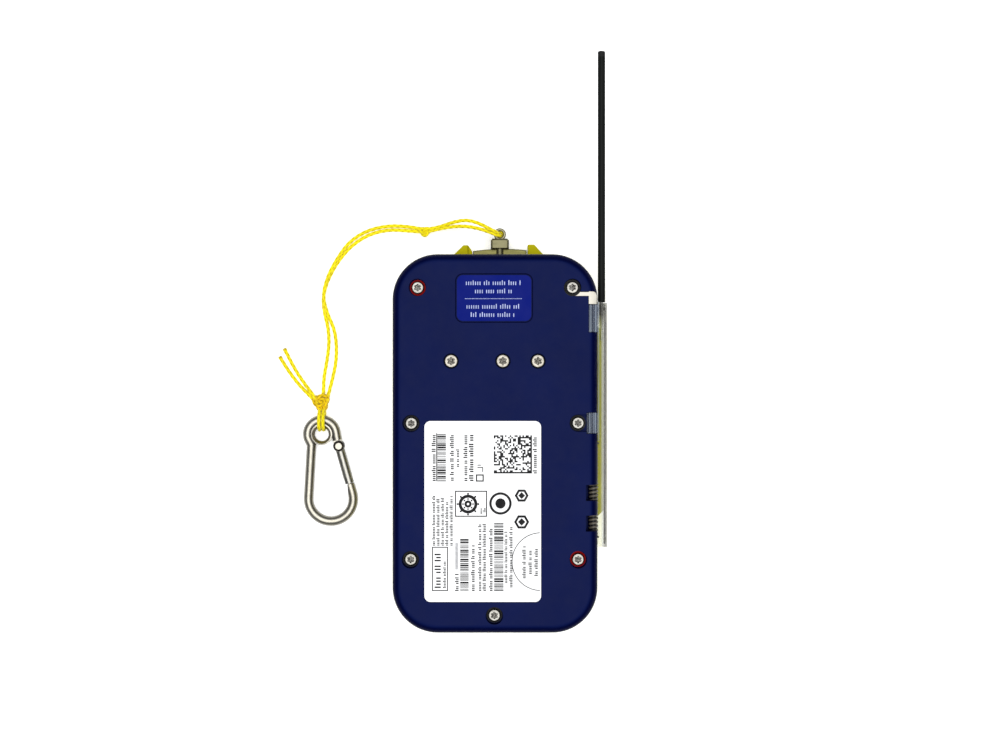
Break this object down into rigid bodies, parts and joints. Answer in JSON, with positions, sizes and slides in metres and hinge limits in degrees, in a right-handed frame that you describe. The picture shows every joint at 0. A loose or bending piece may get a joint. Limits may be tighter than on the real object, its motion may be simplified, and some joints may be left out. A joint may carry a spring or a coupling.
{
  "type": "emergency position beacon",
  "caption": "Palm-sized sealed beacon housing with a whip antenna, clear side guard, pull-out release pin, cord lanyard and small carabiner.",
  "frame": {"origin": "centre of the housing's outline on the front face, which is the plane it rests on", "axes": "+Z from the front face towards the back cover, +Y towards the antenna's tip, +X towards the side that carries the antenna"},
  "size_m": [0.1132, 0.1946, 0.027],
  "materials": {
    "cover_blue": "fine moulded texture",
    "shell_yellow": "fine moulded texture",
    "seal_rubber": "matt black rubber",
    "screw_bright": "bright stainless steel",
    "screw_satin": "satin stainless steel",
    "washer_red": "red sealing washer",
    "insert_brass": "knurled brass",
    "seal_label_blue": "printed film",
    "label_white": "printed white film",
    "label_front": "printed film",
    "retainer_nickel": "satin nickel plate",
    "guard_clear": "clear moulded plastic",
    "coil_black": "black enamelled wire",
    "former_black": "black moulded plastic",
    "board_green": "solder mask",
    "ceramic_patch": "fired ceramic with a silvered patch",
    "can_tin": "tinned steel",
    "reed_glass": "clear glass",
    "led_body": "moulded resin",
    "connector_white": "moulded plastic",
    "cell_sleeve": "shrink sleeve",
    "lead_red": "wire insulation",
    "foam_grey": "closed-cell foam",
    "lens_clear": "clear lens",
    "whip_black": "black sleeve",
    "tip_black": "black cap",
    "foot_steel": "spring steel",
    "bow_steel": "satin steel that mirrors the yellow shell",
    "collar_steel": "machined stainless steel",
    "eye_steel": "stainless steel",
    "cord_yellow": "braided polyester",
    "carabiner_steel": "polished stainless steel",
    "gate_steel": "satin stainless steel",
    "button_red": "moulded silicone",
    "button_grey": "moulded silicone"
  },
  "bodies": {
    "housing": {"back_cover": "cover_blue", "front_shell": "shell_yellow", "case_gasket": "seal_rubber", "case_screws": "screw_bright", "case_washers_black": "seal_rubber", "case_washers_red": "washer_red", "case_inserts": "insert_brass", "inner_screws": "screw_satin", "inner_screw_seals": "seal_rubber", "inner_inserts": "insert_brass", "seal_label": "seal_label_blue", "rating_label": "label_white", "front_label": "label_front", "vacuum_port_plug": "seal_rubber", "guard_retainer": "retainer_nickel", "antenna_guard": "guard_clear", "loading_coil": "coil_black", "coil_former": "former_black", "pin_seal": "seal_rubber", "board_bracket": "former_black", "board_screws": "screw_satin", "main_board": "board_green", "gps_antenna": "ceramic_patch", "shield_can": "can_tin", "radio_module": "can_tin", "reed_switch": "reed_glass", "tact_switches": "former_black", "status_led": "led_body", "battery_connector": "connector_white", "battery_cells": "cell_sleeve", "battery_tray": "former_black", "battery_links": "can_tin", "battery_leads": "lead_red", "battery_pad": "foam_grey", "activate_seal": "seal_rubber", "test_seal": "seal_rubber", "led_lens": "lens_clear"},
    "antenna": {"antenna_whip": "whip_black", "antenna_tip": "tip_black", "antenna_foot": "foot_steel"},
    "release_pin": {"release_bow": "bow_steel", "eye_collar": "collar_steel", "lanyard_eye": "eye_steel", "release_shaft": "collar_steel", "release_magnet": "can_tin", "lanyard_strand_a": "cord_yellow", "lanyard_strand_b": "cord_yellow", "eyelet_loop": "cord_yellow", "eye_knot": "cord_yellow", "knot_mid": "cord_yellow", "knot_end": "cord_yellow", "carabiner_frame": "carabiner_steel", "carabiner_eyelet": "carabiner_steel", "gate_rivet": "carabiner_steel"},
    "gate": {"carabiner_gate": "gate_steel", "gate_spring": "foot_steel"},
    "activate_button": {"activate_button": "button_red"},
    "test_button": {"test_button": "button_grey"}
  },
  "joints": [
    {"name": "antenna_slide", "type": "slide", "parent": "housing", "child": "antenna", "axis": [0, -1, 0], "range_m": [0, 0.068]},
    {"name": "pin_pull", "type": "slide", "parent": "housing", "child": "release_pin", "axis": [0, 1, 0], "range_m": [0, 0.012]},
    {"name": "gate_hinge", "type": "hinge", "parent": "release_pin", "child": "gate", "pos_m": [-0.05405, -0.0018, 0.00265], "axis": [0, 0.0384, -0.9993], "range_deg": [0, 32], "stiffness_Nm_per_rad": 0.004, "springref_deg": -28.65},
    {"name": "activate_press", "type": "slide", "parent": "housing", "child": "activate_button", "axis": [0, 0, 1], "range_m": [0, 0.001], "stiffness_N_per_m": 600, "springref_m": -0.0008},
    {"name": "test_press", "type": "slide", "parent": "housing", "child": "test_button", "axis": [0, 0, 1], "range_m": [0, 0.001], "stiffness_N_per_m": 500, "springref_m": -0.0008}
  ]
}
